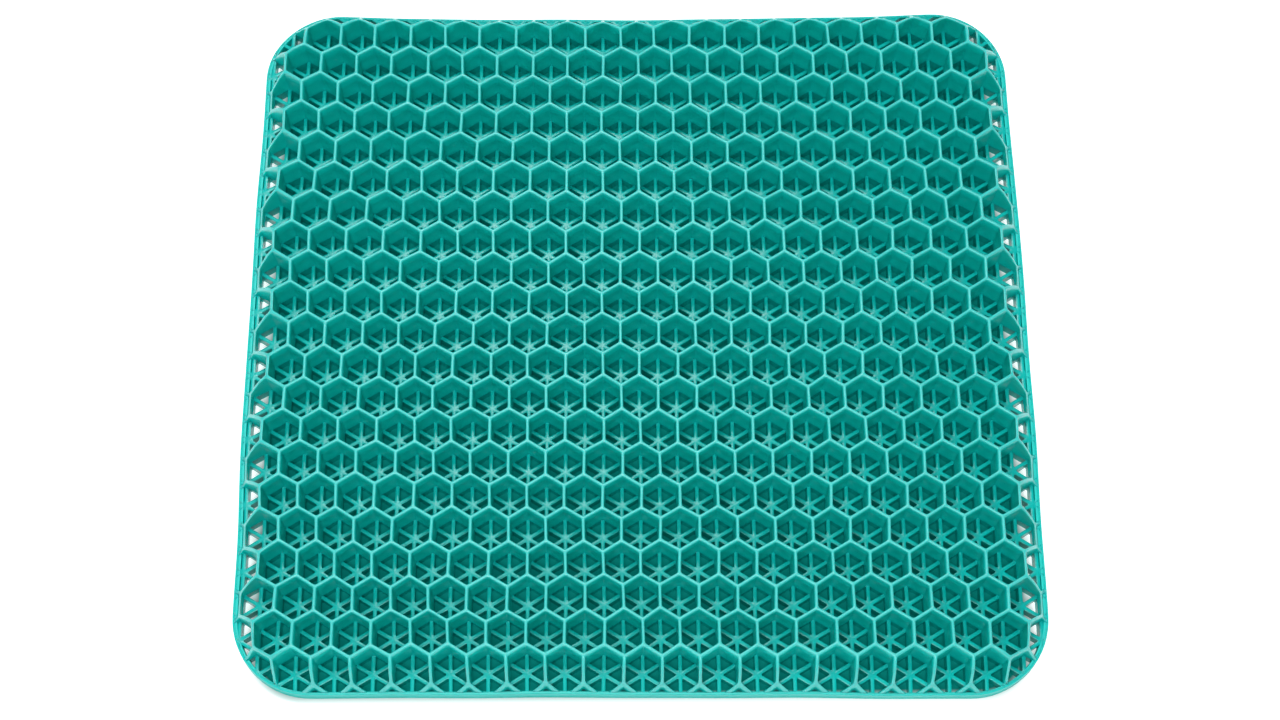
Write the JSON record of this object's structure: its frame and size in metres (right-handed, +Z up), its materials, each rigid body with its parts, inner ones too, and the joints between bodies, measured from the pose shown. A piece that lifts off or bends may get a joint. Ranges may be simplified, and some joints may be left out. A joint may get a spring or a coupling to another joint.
{
  "type": "seat cushion",
  "caption": "Soft gel seat cushion with an open honeycomb top, a lattice base under it and a thin rim, laid loose on a chair seat.",
  "frame": {"origin": "middle of the footprint, on the surface that the cushion lies on", "axes": "+X across the seat, the long way; +Y from the front edge to the back edge; +Z up, the thin way"},
  "size_m": [0.438, 0.404, 0.027],
  "materials": {
    "honeycomb_gel": "soft satin gel, slightly see-through at thin edges",
    "base_gel": "soft satin gel",
    "rim_gel": "soft satin gel"
  },
  "bodies": {
    "root": {"upper_honeycomb": "honeycomb_gel", "base_lattice": "base_gel", "perimeter_rim": "rim_gel"}
  },
  "joints": []
}
